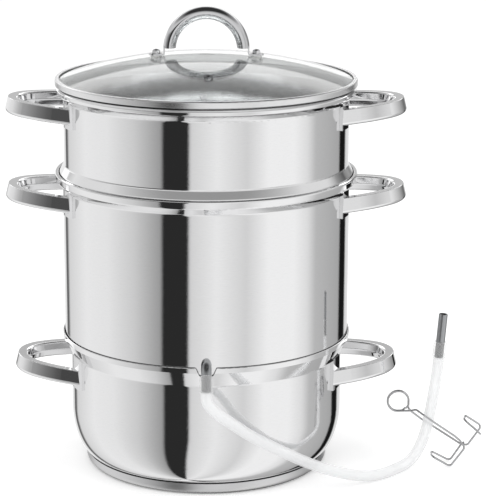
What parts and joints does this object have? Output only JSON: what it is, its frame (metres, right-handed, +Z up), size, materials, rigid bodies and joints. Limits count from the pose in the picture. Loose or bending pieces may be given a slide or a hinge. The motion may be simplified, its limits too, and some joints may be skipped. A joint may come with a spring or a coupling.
{
  "type": "steam juicer",
  "caption": "Stacked steel steam juicer: water pan, juice kettle with steam cone and drain hose with spring clamp, perforated fruit basket and domed glass lid",
  "frame": {"origin": "centre of the base capsule's flat underside, on the vessels' common axis", "axes": "+Z up along the vessels' axis, handles at +X and -X, drain spout toward -Y"},
  "size_m": [0.438, 0.3029, 0.4219],
  "materials": {
    "polished_steel": "mirror polished stainless steel sheet",
    "satin_steel": "satin stainless steel",
    "core_aluminium": "plain aluminium disc, sealed in the base",
    "bright_wire": "bright plated spring wire",
    "lid_glass": "clear tempered glass",
    "hose_silicone": "milky translucent silicone tube",
    "seal_silicone": "soft clear silicone washer"
  },
  "bodies": {
    "pan": {"water_pan": "polished_steel", "base_capsule": "satin_steel", "base_core": "core_aluminium", "pan_handle_right": "polished_steel", "pan_handle_left": "polished_steel", "pan_foot_right_rear": "polished_steel", "pan_foot_right_front": "polished_steel", "pan_foot_left_rear": "polished_steel", "pan_foot_left_front": "polished_steel"},
    "kettle": {"juice_kettle": "polished_steel", "steam_cone": "polished_steel", "drain_spout": "polished_steel", "kettle_handle_right": "polished_steel", "kettle_handle_left": "polished_steel", "kettle_foot_right_rear": "polished_steel", "kettle_foot_right_front": "polished_steel", "kettle_foot_left_rear": "polished_steel", "kettle_foot_left_front": "polished_steel", "juice_hose": "hose_silicone", "hose_nozzle": "satin_steel", "clamp_front_arm": "bright_wire"},
    "clamp_arm": {"clamp_rear_arm": "bright_wire"},
    "basket": {"fruit_basket": "polished_steel", "basket_handle_right": "polished_steel", "basket_handle_left": "polished_steel", "basket_foot_right_rear": "polished_steel", "basket_foot_right_front": "polished_steel", "basket_foot_left_rear": "polished_steel", "basket_foot_left_front": "polished_steel"},
    "lid": {"lid_glass": "lid_glass", "lid_rim": "polished_steel", "vent_eyelet": "polished_steel", "lid_handle": "polished_steel", "lid_screw_right": "satin_steel", "lid_screw_left": "satin_steel", "lid_cap_nut_right": "polished_steel", "lid_cap_nut_left": "polished_steel", "lid_seal_upper_right": "seal_silicone", "lid_seal_upper_left": "seal_silicone", "lid_seal_lower_right": "seal_silicone", "lid_seal_lower_left": "seal_silicone"}
  },
  "joints": [
    {"name": "kettle_lift", "type": "slide", "parent": "pan", "child": "kettle", "axis": [0, 0, 1], "range_m": [0, 0.08]},
    {"name": "basket_lift", "type": "slide", "parent": "kettle", "child": "basket", "axis": [0, 0, 1], "range_m": [0, 0.1]},
    {"name": "lid_lift", "type": "slide", "parent": "basket", "child": "lid", "axis": [0, 0, 1], "range_m": [0, 0.08]},
    {"name": "clamp_squeeze", "type": "hinge", "parent": "kettle", "child": "clamp_arm", "pos_m": [0.1769, -0.033, 0.062], "axis": [0, 1, 0], "range_deg": [0, 12], "stiffness_Nm_per_rad": 0.06}
  ]
}
